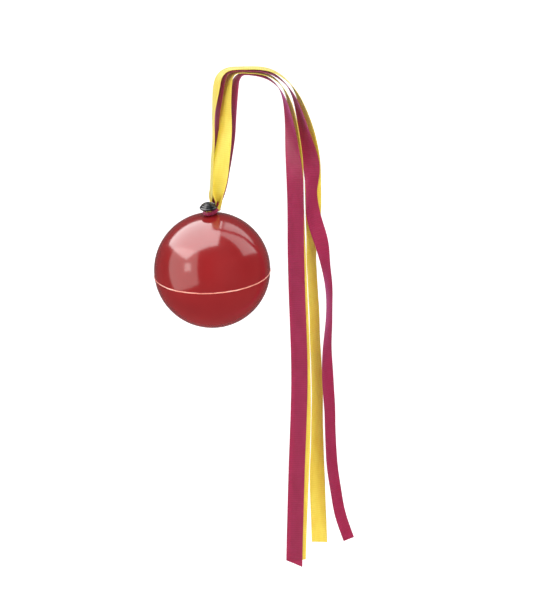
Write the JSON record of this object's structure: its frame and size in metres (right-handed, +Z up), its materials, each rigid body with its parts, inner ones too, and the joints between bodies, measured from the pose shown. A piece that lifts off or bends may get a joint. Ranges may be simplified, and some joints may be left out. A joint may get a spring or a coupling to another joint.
{
  "type": "ribbon swing ball",
  "caption": "Hollow two-part plastic ball on a mushroom-head peg, hung from folded satin ribbons that drape over a finger and hang as free tails.",
  "frame": {"origin": "where the outermost ribbon leaves the carrying finger, directly above the ball", "axes": "+Z up along the hanging ribbons, +X right towards the tails, +Y away from the viewer"},
  "size_m": [0.1214, 0.0708, 0.3081],
  "materials": {
    "red_shell": "glossy moulded",
    "red_bead": "raised weld bead",
    "black_peg": "glossy",
    "crimson_satin": "single-face satin ribbon",
    "yellow_satin": "single-face satin ribbon",
    "washer_plastic": "natural",
    "spring_steel": "plain"
  },
  "bodies": {
    "in_hand": {"crimson_front_grip": "crimson_satin", "yellow_back_grip": "yellow_satin", "crimson_side_grip": "crimson_satin", "yellow_side_grip": "yellow_satin"},
    "fold": {"crimson_front_crest": "crimson_satin", "yellow_back_crest": "yellow_satin", "crimson_side_crest": "crimson_satin", "yellow_side_crest": "yellow_satin"},
    "drop": {"crimson_front_drop": "crimson_satin", "yellow_back_drop": "yellow_satin", "crimson_side_drop": "crimson_satin", "yellow_side_drop": "yellow_satin"},
    "peg": {"peg": "black_peg", "crimson_hitch": "crimson_satin", "yellow_hitch": "yellow_satin", "inner_washer": "washer_plastic", "push_nut": "spring_steel"},
    "ball": {"upper_shell": "red_shell", "lower_shell": "red_shell", "seam_bead": "red_bead"},
    "crimson_front_upper": {"crimson_front_tail_upper": "crimson_satin"},
    "crimson_front_lower": {"crimson_front_tail_lower": "crimson_satin"},
    "yellow_back_upper": {"yellow_back_tail_upper": "yellow_satin"},
    "yellow_back_lower": {"yellow_back_tail_lower": "yellow_satin"},
    "crimson_side_upper": {"crimson_side_tail_upper": "crimson_satin"},
    "crimson_side_lower": {"crimson_side_tail_lower": "crimson_satin"},
    "yellow_side_upper": {"yellow_side_tail_upper": "yellow_satin"},
    "yellow_side_lower": {"yellow_side_tail_lower": "yellow_satin"}
  },
  "joints": [
    {"name": "swing_fore_aft", "type": "hinge", "parent": "in_hand", "child": "fold", "pos_m": [0.0206, 0, 0.00875], "axis": [1, 0, 0], "range_deg": [-40, 40]},
    {"name": "swing_side", "type": "hinge", "parent": "fold", "child": "drop", "pos_m": [0, 0, 0], "axis": [0, 1, 0], "range_deg": [-3, 40]},
    {"name": "ball_nod", "type": "hinge", "parent": "drop", "child": "peg", "pos_m": [0, -0.0008, -0.0686], "axis": [1, 0, 0], "range_deg": [-25, 30]},
    {"name": "ball_spin", "type": "hinge", "parent": "peg", "child": "ball", "pos_m": [-0.0007, 0, -0.1129], "axis": [-0.0519, -0.1288, 0.9903], "continuous": true},
    {"name": "crimson_front_swing", "type": "hinge", "parent": "in_hand", "child": "crimson_front_upper", "pos_m": [0.0492, -0.002, -0.064], "axis": [1, 0, 0], "range_deg": [-40, 0]},
    {"name": "crimson_front_bend", "type": "hinge", "parent": "crimson_front_upper", "child": "crimson_front_lower", "pos_m": [0.0519, -0.002, -0.176], "axis": [1, 0, 0], "range_deg": [-45, 0]},
    {"name": "yellow_back_swing", "type": "hinge", "parent": "in_hand", "child": "yellow_back_upper", "pos_m": [0.0493, -0.0009, -0.064], "axis": [1, 0, 0], "range_deg": [0, 35]},
    {"name": "yellow_back_bend", "type": "hinge", "parent": "yellow_back_upper", "child": "yellow_back_lower", "pos_m": [0.0537, -0.0009, -0.176], "axis": [1, 0, 0], "range_deg": [0, 45]},
    {"name": "crimson_side_swing", "type": "hinge", "parent": "in_hand", "child": "crimson_side_upper", "pos_m": [0.0587, 0.0004, -0.064], "axis": [-0.6947, -0.7193, 0], "range_deg": [0, 40]},
    {"name": "crimson_side_bend", "type": "hinge", "parent": "crimson_side_upper", "child": "crimson_side_lower", "pos_m": [0.0692, 0.0004, -0.15], "axis": [-0.454, -0.891, 0], "range_deg": [0, 50]},
    {"name": "yellow_side_swing", "type": "hinge", "parent": "in_hand", "child": "yellow_side_upper", "pos_m": [0.0599, 0.0048, -0.064], "axis": [1, 0, 0], "range_deg": [0, 40]},
    {"name": "yellow_side_bend", "type": "hinge", "parent": "yellow_side_upper", "child": "yellow_side_lower", "pos_m": [0.0617, 0.0048, -0.165], "axis": [0.6157, 0.788, 0], "range_deg": [0, 40]}
  ]
}
